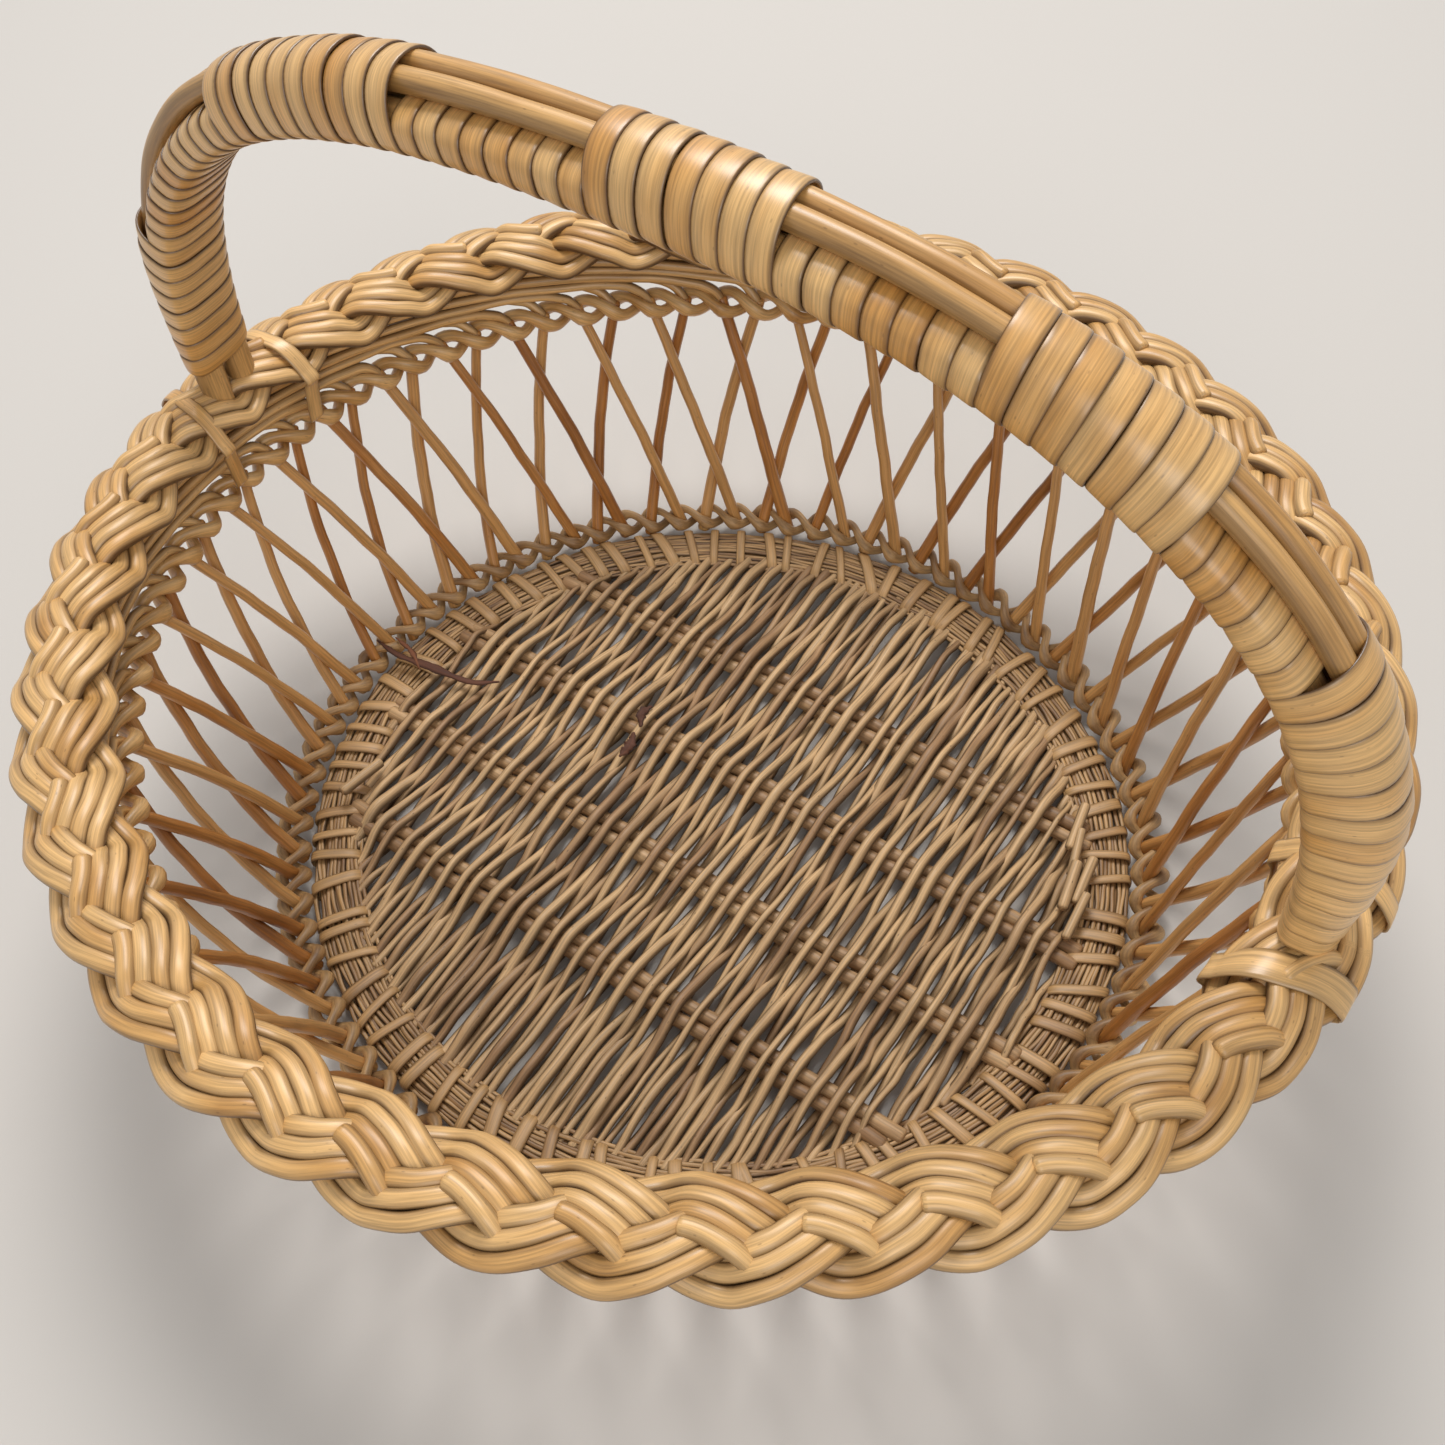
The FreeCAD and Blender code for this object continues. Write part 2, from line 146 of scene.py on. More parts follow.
class Bundle:
    """Rods and strips gathered for one mesh, with what the materials need to know."""

    def __init__(self):
        self.places = []
        self.faces = []
        self.grain = []
        self.tone = []
        self.painted_crease_shade = []
        self.count = 0

    def lay(self, points, facing, wide, thick=None, sides=10, square=2.0, closed=False,
            tone=None, crease_shade=0.0):
        """Adds a rod or strip along points.

        facing is the way its flat face looks, wide and thick are half sizes, square is
        2 for an oval section and more for a boxier one, and crease_shade is how much
        painted shade darkens the two sides of its section.
        """
        points = np.asarray(points, float)
        count = len(points)
        wide = np.broadcast_to(wide, count).astype(float)
        thick = wide if thick is None else np.broadcast_to(thick, count).astype(float)
        facing = np.broadcast_to(facing, (count, 3)).astype(float)
        tone = np.broadcast_to(chance.uniform() if tone is None else tone, count)
        if closed:
            heading = unit(np.roll(points, -1, 0) - np.roll(points, 1, 0))
        else:
            heading = unit(np.gradient(points, axis=0))
            points, heading, facing, wide, thick, tone = self.cut_ends(
                points, heading, facing, wide, thick, tone)
            count = len(points)
        facing = unit(facing - heading * np.sum(facing * heading, axis=1, keepdims=True))
        across = np.cross(heading, facing)
        angle = 2.0 * math.pi * (np.arange(sides) + 0.5) / sides
        side = np.sign(np.cos(angle)) * np.abs(np.cos(angle)) ** (2.0 / square)
        top = np.sign(np.sin(angle)) * np.abs(np.sin(angle)) ** (2.0 / square)
        sideways = wide[:, None] * side[None, :]
        upwards = thick[:, None] * top[None, :]
        ring = points[:, None, :] + across[:, None, :] * sideways[:, :, None] \
            + facing[:, None, :] * upwards[:, :, None]
        steps = np.linalg.norm(np.diff(points, axis=0), axis=1)
        along = np.concatenate([[0.0], np.cumsum(steps)]) + chance.uniform(0.0, 9000.0)
        grain = np.stack([np.broadcast_to(along[:, None], sideways.shape), sideways, upwards], axis=-1)
        self.places.append(ring.reshape(-1, 3))
        self.grain.append(grain.reshape(-1, 3))
        self.tone.append(np.repeat(tone, sides))
        # Painted shade: the two sides of the section, where a rod lies against its neighbours, are darkened.
        self.painted_crease_shade.append(np.tile(crease_shade * np.abs(np.cos(angle)) ** 3, count))
        self.join_rings(count, sides, closed)

    def cut_ends(self, points, heading, facing, wide, thick, tone):
        """Adds a slightly rounded cut at each end."""
        first = [points[0] - heading[0] * thick[0] * step for step in (0.45, 0.3)]
        last = [points[-1] + heading[-1] * thick[-1] * step for step in (0.3, 0.45)]
        points = np.vstack([first, points, last])
        heading = np.vstack([heading[:1], heading[:1], heading, heading[-1:], heading[-1:]])
        facing = np.vstack([facing[:1], facing[:1], facing, facing[-1:], facing[-1:]])
        narrow = np.array([0.62, 0.9])
        wide = np.concatenate([wide[0] * narrow, wide, wide[-1] * narrow[::-1]])
        thick = np.concatenate([thick[0] * narrow, thick, thick[-1] * narrow[::-1]])
        tone = np.concatenate([[tone[0]] * 2, tone, [tone[-1]] * 2])
        return points, heading, facing, wide, thick, tone

    def join_rings(self, count, sides, closed):
        """Faces between neighbouring rings, and a face over each open end."""
        rows = np.arange(count if closed else count - 1)[:, None]
        columns = np.arange(sides)[None, :]
        ahead = (rows + 1) % count
        beside = (columns + 1) % sides
        quads = np.stack([rows * sides + columns, rows * sides + beside,
                          ahead * sides + beside, ahead * sides + columns], axis=-1)
        self.faces += (quads.reshape(-1, 4) + self.count).tolist()
        if not closed:
            self.faces.append((np.arange(sides)[::-1] + self.count).tolist())
            self.faces.append((np.arange(sides) + (count - 1) * sides + self.count).tolist())
        self.count += count * sides


def make_piece(name, bundle, material, slot, *nodes):
    """Turns a bundle into an object that stands for some nodes of the frame."""
    mesh = bpy.data.meshes.new(name)
    mesh.from_pydata((np.vstack(bundle.places) / METRE).tolist(), [], bundle.faces)
    mesh.attributes.new("grain", "FLOAT_VECTOR", "POINT").data.foreach_set(
        "vector", np.vstack(bundle.grain).astype(np.float32).ravel())
    mesh.attributes.new("tone", "FLOAT", "POINT").data.foreach_set(
        "value", np.concatenate(bundle.tone).astype(np.float32))
    mesh.attributes.new("painted_crease_shade", "FLOAT", "POINT").data.foreach_set(
        "value", np.concatenate(bundle.painted_crease_shade).astype(np.float32))
    mesh.shade_smooth()
    mesh.materials.append(material)
    piece = bpy.data.objects.new(name, mesh)
    bpy.context.scene.collection.objects.link(piece)
    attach(piece, "root")
    if nodes:
        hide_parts(*nodes)
    return piece


# ---- materials ---------------------------------------------------------------------
def from_hex(text):
    """Linear colour from an sRGB hex value."""
    levels = [int(text[place:place + 2], 16) / 255.0 for place in (1, 3, 5)]
    linear = [level / 12.92 if level <= 0.04045 else ((level + 0.055) / 1.055) ** 2.4 for level in levels]
    return (*linear, 1.0)


def add(tree, kind, settings=None, **links):
    """Adds a node, sets its properties and sockets, and links sockets to outputs."""
    node = tree.nodes.new(kind)
    for key, value in (settings or {}).items():
        if isinstance(key, int) or key in node.inputs:
            node.inputs[key].default_value = value
        else:
            setattr(node, key, value)
    for key, source in links.items():
        tree.links.new(source, node.inputs[int(key[1:])])
    return node


def willow(name, pale, middle, deep, speck_and_shade, rough, coat, streak_depth, fleck=0.35):
    """Willow in a clear finish.

    pale, middle and deep are the wood from its palest rods to its deepest, and speck_and_shade
    is the colour of the specks and pith, and of the painted shade along the sides of rods.
    """
    material = bpy.data.materials.new(name)
    material.use_nodes = True
    tree = material.node_tree
    tree.nodes.clear()
    grain = add(tree, "ShaderNodeAttribute", {"attribute_name": "grain"}).outputs["Vector"]
    tone = add(tree, "ShaderNodeAttribute", {"attribute_name": "tone"}).outputs["Fac"]
    painted_crease_shade = add(tree, "ShaderNodeAttribute", {"attribute_name": "painted_crease_shade"}).outputs["Fac"]
    # Wood fibres: streaks about 25 mm long and 0.7 mm wide.
    fibre_place = add(tree, "ShaderNodeMapping", {"Scale": (0.04, 1.4, 1.4)}, i0=grain).outputs[0]
    fibre = add(tree, "ShaderNodeTexNoise", {"Scale": 1.0, "Detail": 5.0, "Roughness": 0.6},
                i0=fibre_place).outputs["Fac"]
    # Patches some 30 mm long where the varnish or the bark's stain is uneven.
    patch_place = add(tree, "ShaderNodeMapping", {"Scale": (0.035, 0.12, 0.12)}, i0=grain).outputs[0]
    patch = add(tree, "ShaderNodeTexNoise", {"Scale": 1.0, "Detail": 3.0}, i0=patch_place).outputs["Fac"]
    # Buds and small scars: specks about a millimetre across, some centimetres apart.
    speck_place = add(tree, "ShaderNodeMapping", {"Scale": (0.16, 0.42, 0.42)}, i0=grain).outputs[0]
    speck = add(tree, "ShaderNodeTexVoronoi", {"Scale": 1.0, "Randomness": 1.0},
                i0=speck_place).outputs["Distance"]
    speck = add(tree, "ShaderNodeMapRange",
                {"From Min": 0.05, "From Max": 0.11, "To Min": fleck, "To Max": 0.0}, i0=speck).outputs[0]
    mixed = add(tree, "ShaderNodeMath", {"operation": "MULTIPLY_ADD", 1: 0.9}, i0=patch, i2=tone).outputs[0]
    shade = add(tree, "ShaderNodeMapRange", {"From Min": 0.25, "From Max": 1.15}, i0=mixed).outputs[0]
    ramp = add(tree, "ShaderNodeValToRGB", None, i0=shade)
    ramp.color_ramp.elements[0].color = from_hex(deep)
    ramp.color_ramp.elements[1].color = from_hex(pale)
    ramp.color_ramp.elements.new(0.5).color = from_hex(middle)
    fibre_dark = add(tree, "ShaderNodeMapRange",
                     {"From Min": 0.35, "From Max": 0.62, "To Min": 0.62, "To Max": 1.0}, i0=fibre).outputs[0]
    streaked = add(tree, "ShaderNodeVectorMath", {"operation": "SCALE"},
                   i0=ramp.outputs[0], i3=fibre_dark).outputs[0]
    # The Mix node's sockets 6 and 7 are its colours, and output 2 is the mixed colour.
    speck_and_shade_mix = {"data_type": "RGBA", 7: from_hex(speck_and_shade)}
    spotted = add(tree, "ShaderNodeMix", speck_and_shade_mix, i0=speck, i6=streaked)
    # Painted shade: the sides of each rod, where it meets its neighbours, are darkened towards the speck
    # colour.
    crease_shaded = add(tree, "ShaderNodeMix", speck_and_shade_mix, i0=painted_crease_shade, i6=spotted.outputs[2])
    dull = add(tree, "ShaderNodeMapRange", {"To Min": rough - 0.08, "To Max": rough + 0.12},
               i0=fibre).outputs[0]
    bump = add(tree, "ShaderNodeBump", {"Strength": streak_depth, "Distance": 0.0004}, i2=fibre).outputs[0]
    bsdf = add(tree, "ShaderNodeBsdfPrincipled", {"IOR": 1.5, "Coat Weight": coat, "Coat Roughness": 0.32})
    tree.links.new(crease_shaded.outputs[2], bsdf.inputs["Base Color"])
    tree.links.new(dull, bsdf.inputs["Roughness"])
    tree.links.new(bump, bsdf.inputs["Normal"])
    add(tree, "ShaderNodeOutputMaterial", None, i0=bsdf.outputs[0])
    return material


# Peeled and varnished rods of the plait: honey tan, satin; the dark lines between rods are painted shade.
plait_willow = willow("varnished_willow_plait", "#e9b978", "#d49f5b", "#ae7433", "#34190a",
                      rough=0.42, coat=0.3, streak_depth=0.45)
# Side stakes: the same rods where more varnish has run, so warmer and deeper.
stake_wood = willow("varnished_willow_stakes", "#d29c5c", "#bb7b39", "#8f541f", "#341a0a",
                    rough=0.4, coat=0.3, streak_depth=0.4)
# Base rods: peeled willow with little varnish left, greyed by dust.
base_wood = willow("worn_willow_base", "#d6ae7c", "#a88057", "#6f5031", "#26170c",
                   rough=0.55, coat=0.1, streak_depth=0.55, fleck=0.55)
# Scalloms and their tails: rods shaved flat and wrapped round the base ring.
shaved_wood = willow("shaved_willow_ring", "#c99d66", "#a3794a", "#74502d", "#26170c",
                     rough=0.52, coat=0.12, streak_depth=0.55)
# Lapping: split willow skein, its flat face outwards, with the thickest varnish.
skein_wood = willow("split_willow_skein", "#eaba78", "#d89e54", "#b37428", "#381c09",
                    rough=0.36, coat=0.45, streak_depth=0.4, fleck=0.3)
# Bark left on a rod: thin, dark red-brown and dry.
bark = willow("willow_bark", "#7d4a2c", "#5f3520", "#3f2213", "#1c0f08",
              rough=0.75, coat=0.0, streak_depth=0.6)
# Thick rods of the handle.
handle_wood = willow("varnished_willow_handle", "#d8a766", "#c38d49", "#a56f33", "#361c0b",
                     rough=0.4, coat=0.35, streak_depth=0.35)


# ---- base ----------------------------------------------------------------------------
UP = np.array([0.0, 0.0, 1.0])
stick_pairs = 4
stick_radius = 2.8
stick_reach = (stick_low[1] + stick_high[1] - outer_stick_low[1] - outer_stick_high[1]) / 2.0
stick_pitch = stick_reach / (stick_pairs - 1)
stick_height = (stick_low[2] + stick_high[2]) / 2.0


def chord(across, half_across, half_along):
    """Half the length of a straight line across an oval."""
    return half_along * math.sqrt(max(0.0, 1.0 - (across / half_across) ** 2))


def make_sticks(pair):
    """Two straight base rods side by side."""
    bundle = Bundle()
    for side in (-1.0, 1.0):
        y = (pair - (stick_pairs - 1) / 2.0) * stick_pitch + side * (stick_radius + 0.1)
        half = chord(y, mat_edge[1], mat_edge[0]) + 5.0
        share = np.linspace(0.0, 1.0, 60)
        x = -half + 2.0 * half * share
        points = np.stack([x, y + wander(share, 2, 0.5), stick_height + wander(share, 2, 0.3)], axis=-1)
        taper = 1.0 + side * 0.1 * (share - 0.5) + wander(share, 5, 0.03)
        bundle.lay(points, UP, stick_radius * taper, sides=12, tone=chance.uniform(0.1, 0.6))
    return make_piece("base_sticks_%d" % (pair + 1), bundle, base_wood, "base_willow",
                      "base_stick_pair_%d" % (pair + 1))


def make_mat_weavers():
    """Thin rods woven across the sticks, over one pair and under the next.

    A weaver is bent sharply where it passes a pair and runs straight between pairs.
    """
    bundle = Bundle()
    pitch = 3.5
    rows = int(mat_edge[0] / pitch)
    for row in range(-rows, rows + 1):
        x = row * pitch + chance.normal(0.0, 0.35)
        half = chord(min(abs(x), mat_edge[0] - 3.0), mat_edge[0], mat_edge[1])
        if half < 14.0:
            continue
        half += 5.0
        radius = chance.uniform(1.4, 2.15)
        lift = stick_radius + radius + 0.5
        way = 1.0 if row % 2 else -1.0
        share = np.linspace(0.0, 1.0, 30 + int(half * 0.8))
        y = -half + 2.0 * half * share
        step = math.pi * (y / stick_pitch - (stick_pairs - 1) / 2.0)
        wave = np.arcsin(0.985 * np.cos(step)) / math.asin(0.985)
        fade = smooth(0.0, 16.0, half - np.abs(y))
        beyond = smooth(1.5 * stick_pitch + 8.0, 1.5 * stick_pitch + 26.0, np.abs(y))
        z = stick_height + way * lift * wave * fade * (1.0 - 0.6 * beyond) - 1.5 * (1.0 - fade)
        z = np.maximum(z, 1.3 * radius + 0.2)
        # Between pairs, neighbours press past each other and move aside a little.
        aside = way * 0.35 * np.cos(2.0 * step + chance.uniform(-0.6, 0.6))
        side = x + wander(share, 2, 0.35) + wander(share, 1, 0.5) + aside
        side = side + np.interp(np.round(step / math.pi), np.arange(-6, 7), chance.normal(0.0, 0.4, 13))
        padded = np.concatenate([side[:1]] * 2 + [side] + [side[-1:]] * 2)
        side = np.convolve(padded, np.ones(5) / 5.0, "valid")
        taper = chance.uniform(-0.25, 0.25) * (share - 0.5) * 2.0
        thickness = radius * (1.0 + taper + wander(share, 5, 0.05))
        points = np.stack([side, y, z], axis=-1)
        bundle.lay(points, UP, thickness, sides=8, tone=chance.uniform(0.2, 1.0), crease_shade=0.9)
    return make_piece("mat_weavers", bundle, base_wood, "base_willow", "base_weavers")


def make_ring_hoop():
    """Flat hoop inside the base ring."""
    bundle = Bundle()
    turn = np.arange(240) / 240.0
    bundle.lay(on_oval(ring_middle, turn, ring_height - 0.8), UP, 6.9, 2.4, 12, 4.0, True, 0.2)
    return make_piece("ring_hoop", bundle, shaved_wood, "base_willow", "base_hoop")


def make_ring_tails():
    """Shaved tails of the scalloms, laid along the hoop."""
    bundle = Bundle()
    tails = 12
    for number in range(tails):
        across = (number - (tails - 1) / 2.0) * 1.6 + 0.8
        turn = np.arange(420) / 420.0
        out = across + wander(turn, 7, 0.5) + wander(turn, 17, 0.35)
        height = ring_height + 2.2 - 0.02 * across ** 2 + wander(turn, 11, 0.45)
        facing = unit(outwards(ring_middle, turn) * wander(turn, 9, 0.35)[:, None] + UP)
        tone = 0.5 + wander(turn, 13, 0.4)
        bundle.lay(on_oval(ring_middle, turn, height, out), facing, 0.9, 0.8, 8, 2.6, True, tone, 0.95)
    return make_piece("ring_tails", bundle, shaved_wood, "base_willow")


def make_scalloms():
    """One shaved loop round the ring for every stake."""
    bundle = Bundle()
    half_across = 9.4
    half_high = 3.75
    for number in range(stakes):
        angle = 2.0 * math.pi * np.arange(40) / 40.0
        middle = (number + 0.5 + chance.normal(0.0, 0.18)) / stakes
        slant = chance.normal(0.16, 0.12) / stakes
        width = chance.uniform(1.7, 2.6)
        side = np.sign(np.cos(angle)) * np.abs(np.cos(angle)) ** 0.7
        top = np.sign(np.sin(angle)) * np.abs(np.sin(angle)) ** 0.7
        turn = middle + slant * side
        height = ring_height + half_high * top + 0.3 * side
        points = on_oval(ring_middle, turn, height, half_across * side + 1.4)
        facing = outwards(ring_middle, turn) * (side / half_across)[:, None] + UP * (top / half_high)[:, None]
        bundle.lay(points, facing, width, 0.6, 10, 2.6, True, chance.uniform(0.4, 1.0), 0.5)
    return make_piece("scallom_wraps", bundle, shaved_wood, "base_willow", "base_scalloms")


def make_bark():
    """Slivers of bark left on the base.

    Each row: points along the sliver, then its half width.
    """
    bundle = Bundle()
    slivers = [([(-166.0, -4.0, 13.0), (-153.0, -5.5, 13.6), (-139.0, -3.0, 13.2), (-120.0, 0.0, 12.6),
                 (-109.0, 6.0, 13.4)], 1.3),
               ([(-160.0, 1.0, 13.4), (-149.0, -1.5, 14.2), (-141.0, -6.0, 13.0)], 0.9),
               ([(-46.0, 3.0, 13.2), (-45.5, 9.0, 14.0), (-48.0, 15.0, 13.2)], 1.7),
               ([(-47.5, 19.0, 13.2), (-50.5, 24.0, 14.2), (-49.5, 29.0, 13.4)], 1.5)]
    for knots, half_width in slivers:
        points = through(knots, 40)
        share = np.linspace(0.0, 1.0, 40)
        width = half_width * (0.35 + np.sin(math.pi * share)) * (1.0 + wander(share, 3, 0.25))
        facing = UP + np.array([0.5, 0.2, 0.0]) * wander(share, 1, 1.0)[:, None]
        bundle.lay(points, facing, width, 0.45, 8, 2.0, crease_shade=0.5)
    return make_piece("bark_slivers", bundle, bark, "base_willow")


def make_stub_ends():
    """Thick ends of rods that stop just short of the ring.

    Each row: where the rod comes out of the mat, and its direction in radians.
    """
    bundle = Bundle()
    for x, y, aim in ((134.5, 26.0, 1.65), (128.0, 36.0, 1.78), (130.5, 41.0, 1.7), (124.0, 50.0, 1.85),
                      (118.5, 60.0, 1.75), (-124.0, -50.0, 4.6)):
        share = np.linspace(0.0, 1.0, 14)
        run = np.array([math.cos(aim), math.sin(aim), 0.0])
        start = np.array([x, y, 12.5 + chance.uniform(-1.0, 0.6)])
        points = start + run * (18.0 * share)[:, None] + UP * (1.6 * share)[:, None]
        bundle.lay(points, UP, chance.uniform(1.6, 2.3), sides=10, tone=chance.uniform(0.5, 1.0), crease_shade=0.8)
    return make_piece("stub_ends", bundle, base_wood, "base_willow")


def make_twine(name, height, swing, lift, half_wide, half_thick, pinch, crease_shade, material, slot, node):
    """Two rods twisted round each other, with a stake in every opening.

    pinch is how much a rod narrows where it passes between two stakes, and crease_shade
    is how much painted shade darkens its sides.
    """
    bundle = Bundle()
    count = stakes * 9
    turn = np.arange(count) / count
    for side in (1.0, -1.0):
        phase = math.pi * stakes * turn
        out = side * swing * np.cos(phase) + wander(turn, 23, 0.25)
        rise = -side * lift * np.sin(phase) + wander(turn, 29, 0.3)
        points = on_oval(wall(height), turn, height + rise, out)
        facing = outwards(wall(height), turn) * 0.9 + UP * 0.35
        swell = 1.0 - pinch * np.abs(np.sin(phase)) + wander(turn, 41, 0.06)
        tone = 0.6 + wander(turn, 37, 0.35)
        bundle.lay(points, facing, half_wide * swell, half_thick * swell, 12, 2.2, True, tone, crease_shade)
    return make_piece(name, bundle, material, slot, node)


# ---- side stakes -----------------------------------------------------------------------
stake_radius = 2.3
stake_foot = 4.4                # height of a stake's lower end, beside the ring
lean_places = 2.0               # stake places moved between the fitching and the base
stake_tones = chance.uniform(0.0, 1.0, stakes)
stake_radii = stake_radius * chance.uniform(0.88, 1.12, stakes)
# Each row: first stake, lean in stake places, bow out at half height, name.
layers = ((0, -lean_places, -2.6, "inner"), (1, lean_places, 4.6, "outer"))


def make_stakes(first, shift, bow, layer):
    """Every second stake, from beside the ring up to the fitching."""
    bundle = Bundle()
    for place in range(first, stakes, 2):
        share = np.linspace(0.0, 1.0, 26)
        height = stake_foot + (fitching_height + 1.0 - stake_foot) * share
        along = (height - twine_height) / (fitching_height - twine_height)
        lean = chance.normal(0.0, 0.08)
        turn = (place + (shift + lean) * (1.0 - along)) / stakes
        out = 4.0 * bow * along * (1.0 - along) + wander(share, 1, 0.3)
        side = wander(share, 1, 0.35) * np.sin(math.pi * share)
        turn = turn + side / (math.pi * sum(wall(60.0)))
        points = on_oval(wall(height), turn, height, out)
        radius = stake_radii[place] * (1.08 - 0.16 * share)
        bundle.lay(points, outwards(wall(60.0), turn), radius, sides=10, tone=stake_tones[place])
    nodes = ["%s_stakes_%d" % (layer, number + 1) for number in range(6)]
    return make_piece("%s_side_stakes" % layer, bundle, stake_wood, "stake_willow", *nodes)


def make_laid_tops():
    """The stakes above the fitching, bent over and laid slantwise under the plait."""
    bundle = Bundle()
    drop = border_height - fitching_height
    for place in range(stakes):
        outer = place % 2
        layer_out = 2.0 if outer else -2.0
        # Each row: stake places on from the fitching, share of the rise, way out of the wall.
        knots = [(0.0, -0.04, 0.0), (0.12, 0.10, 0.0), (0.45, 0.26, layer_out * 0.6), (1.3, 0.37, layer_out),
                 (3.0, 0.46, layer_out), (6.0, 0.64, layer_out), (9.0, 0.84, layer_out), (11.0, 0.98, 0.0)]
        curve = through(knots, 60)
        share = np.linspace(0.0, 1.0, 60)
        height = fitching_height + drop * curve[:, 1] + wander(share, 1, 0.4)
        turn = (place + curve[:, 0]) / stakes
        points = on_oval(wall(height), turn, height, curve[:, 2])
        radius = stake_radii[place] * (0.92 - 0.2 * share)
        bundle.lay(points, outwards(wall(height), turn), radius, sides=9,
                   tone=0.35 + 0.65 * stake_tones[place], crease_shade=0.75)
    return make_piece("laid_stake_tops", bundle, plait_willow, "border_willow", "border_foundation")


# ---- plaited border ----------------------------------------------------------------------
plait_waves = 14                # each strand touches the inner edge this many times
plait_rod = 2.65                # radius of a rod in the plait
rod_pitch = 4.8                 # from rod to rod within a strand
plait_swing = border_half_width - rod_pitch - plait_rod
plait_lift = 3.0                # a crossing strand's height over the plait's middle
plait_drop = 6.8                # the plait's edges below its ridge
plait_ridge = rim_high[2] - plait_rod - plait_lift - 0.3
plait_round = math.pi * sum(border_middle)


def on_plait(turn, strand, across, height=None):
    """Points and facings along one rod of a strand, at an offset across the strand."""
    phase = 2.0 * math.pi * (plait_waves * turn + strand / 3.0)
    slope = plait_swing * 2.0 * math.pi * plait_waves / plait_round * np.cos(phase)
    stretch = np.sqrt(1.0 + slope ** 2)
    out = plait_swing * np.sin(phase) + across / stretch
    turn = turn - across * slope / stretch / plait_round
    if height is None:
        height = -plait_lift * np.tanh(1.5 * np.sin(2.0 * phase)) / math.tanh(1.5)
    fall = plait_drop * np.abs(out / border_half_width) ** 2.2
    points = on_oval(border_middle, turn, plait_ridge + height - fall, out)
    tilt = 2.2 * plait_drop / border_half_width * np.sign(out) * np.abs(out / border_half_width) ** 1.2
    facing = unit(outwards(border_middle, turn) * tilt[:, None] + UP)
    return points, facing


def make_plait_strand(strand):
    """Three rods side by side, plaited round the rim."""
    bundle = Bundle()
    count = plait_waves * 64
    turn = np.arange(count) / count
    for rod in (-1, 0, 1):
        across = rod * rod_pitch + wander(turn, 31, 0.2)
        points, facing = on_plait(turn, strand, across)
        run = np.floor(2.0 * (plait_waves * turn + strand / 3.0) + 0.35).astype(int) % (2 * plait_waves)
        tone = chance.uniform(0.15, 1.0, 2 * plait_waves)[run]
        swell = chance.uniform(0.93, 1.05, 2 * plait_waves)[run]
        blur = np.ones(9) / 9.0
        tone = np.convolve(np.concatenate([tone[-4:], tone, tone[:4]]), blur, "valid")
        swell = np.convolve(np.concatenate([swell[-4:], swell, swell[:4]]), blur, "valid")
        bundle.lay(points, facing, 1.13 * plait_rod * swell, 0.93 * plait_rod * swell, sides=12,
                   square=2.5, closed=True, tone=tone, crease_shade=0.95)
    return make_piece("plait_strand_%d" % (strand + 1), bundle, plait_willow, "border_willow",
                      plait_nodes[strand])


def make_plait_butts():
    """The short thick end of each rod, laid beside the others as it joins the plait."""
    bundle = Bundle()
    across = 2.0 * rod_pitch - 0.4
    last = 1.035                # in waves from the strand's own start, like first
    for strand in range(3):
        for wave in range(plait_waves):
            first = 0.785 + chance.normal(0.0, 0.006)
            share = np.linspace(0.0, 1.0, 26)
            place = first + (last - first) * share
            turn = (wave + place - strand / 3.0) / plait_waves
            dive = smooth(0.94, 1.06, place)
            height = (plait_lift + 0.7) * (1.0 - dive) - plait_lift * dive
            points, facing = on_plait(turn, strand, across, height)
            radius = plait_rod * chance.uniform(1.05, 1.2)
            bundle.lay(points, facing, radius, sides=12, tone=chance.uniform(0.3, 1.0), crease_shade=0.7)
    return make_piece("plait_butts", bundle, plait_willow, "border_willow")


# ---- handle ------------------------------------------------------------------------------
core_radius = (core_high[1] - core_low[1]) / 2.0
core_side = (core_high[1] + core_low[1]) / 2.0
leader_radius = (leader_high[1] - leader_low[1]) / 2.0
leader_side = (leader_high[1] + leader_low[1]) / 2.0
arch_half_span = core_high[0] - core_radius
arch_top = core_high[2] - core_radius
arch_foot = rim_high[2]
arch_power = 2.55               # 2 is an ellipse, more is squarer
leader_out = leader_high[2] - leader_radius - arch_top


def make_arch():
    """Closely spaced points along the arch from the left foot, with distances."""
    angle = np.linspace(math.pi, 0.0, 4001)
    x = arch_half_span * np.sign(np.cos(angle)) * np.abs(np.cos(angle)) ** (2.0 / arch_power)
    z = arch_foot + (arch_top - arch_foot) * np.abs(np.sin(angle)) ** (2.0 / arch_power)
    distance = np.concatenate([[0.0], np.cumsum(np.hypot(np.diff(x), np.diff(z)))])
    return x, z, distance


arch_x, arch_z, arch_distance = make_arch()
arch_length = arch_distance[-1]


def on_arch(distance):
    """Points on the arch and their outward directions; past a foot it goes straight down."""
    distance = np.asarray(distance, float)
    inside = np.clip(distance, 0.0, arch_length)
    below = np.abs(distance - inside)
    x = np.interp(inside, arch_distance, arch_x)
    z = np.interp(inside, arch_distance, arch_z) - below
    step = 1.5
    ahead = np.clip(inside + step, 0.0, arch_length)
    behind = np.clip(inside - step, 0.0, arch_length)
    run = np.interp(ahead, arch_distance, arch_x) - np.interp(behind, arch_distance, arch_x)
    rise = np.interp(ahead, arch_distance, arch_z) - np.interp(behind, arch_distance, arch_z)
    zero = np.zeros_like(run)
    return np.stack([x, zero, z], axis=-1), unit(np.stack([-rise, zero, run], axis=-1))


SIDEWAYS = np.array([0.0, 1.0, 0.0])


def near_foot(distance):
    """0 at a foot and below it, 1 above the stretch where the rods grow thinner."""
    return smooth(4.0, 62.0, np.minimum(distance, arch_length - distance))


